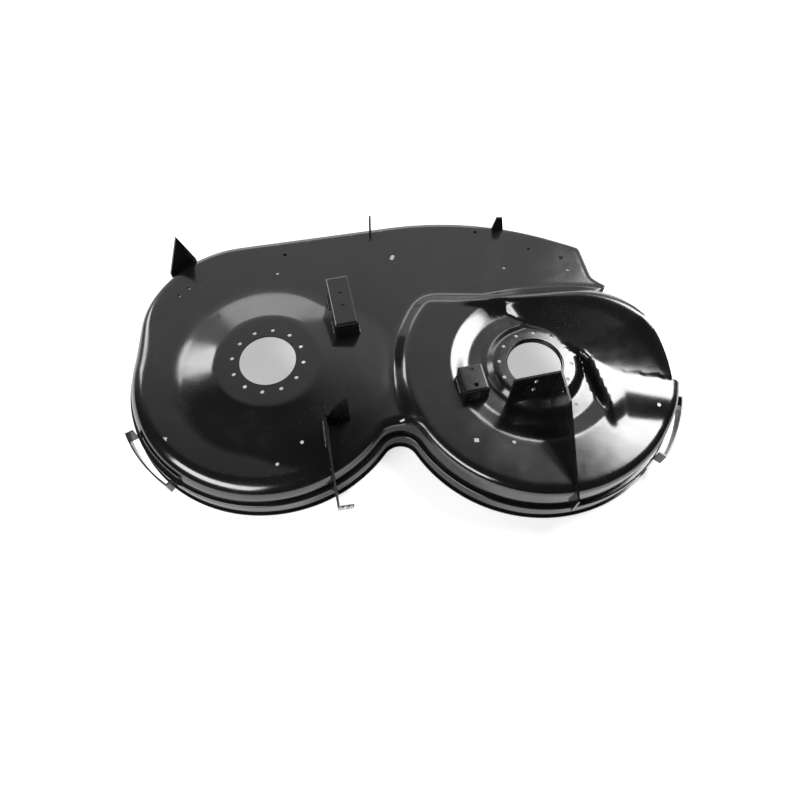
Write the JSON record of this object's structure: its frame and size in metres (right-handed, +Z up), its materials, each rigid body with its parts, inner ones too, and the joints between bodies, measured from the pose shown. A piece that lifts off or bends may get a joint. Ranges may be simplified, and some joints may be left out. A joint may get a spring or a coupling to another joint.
{
  "type": "mower deck shell",
  "caption": "Stamped steel mower deck shell with raised blade domes, spindle bores, a side discharge mouth and welded brackets.",
  "frame": {"origin": "on the rim's rest plane under the middle of the deck, 60 mm ahead of the spindle line", "axes": "+X along the spindle line to the discharge side, +Y to the front, +Z up through the spindle bores"},
  "size_m": [1.1294, 0.6882, 0.2],
  "materials": {
    "deck_paint": "gloss black enamel",
    "bracket_paint": "gloss black enamel"
  },
  "bodies": {
    "root": {"deck_shell": "deck_paint", "left_cover_bracket": "bracket_paint", "right_cover_bracket": "bracket_paint", "left_rear_hanger": "bracket_paint", "right_rear_hanger": "bracket_paint", "left_front_ear": "bracket_paint", "right_front_ear": "bracket_paint", "front_left_wheel_bracket": "bracket_paint", "rear_left_wheel_bracket": "bracket_paint", "rear_right_wheel_bracket": "bracket_paint"}
  },
  "joints": []
}
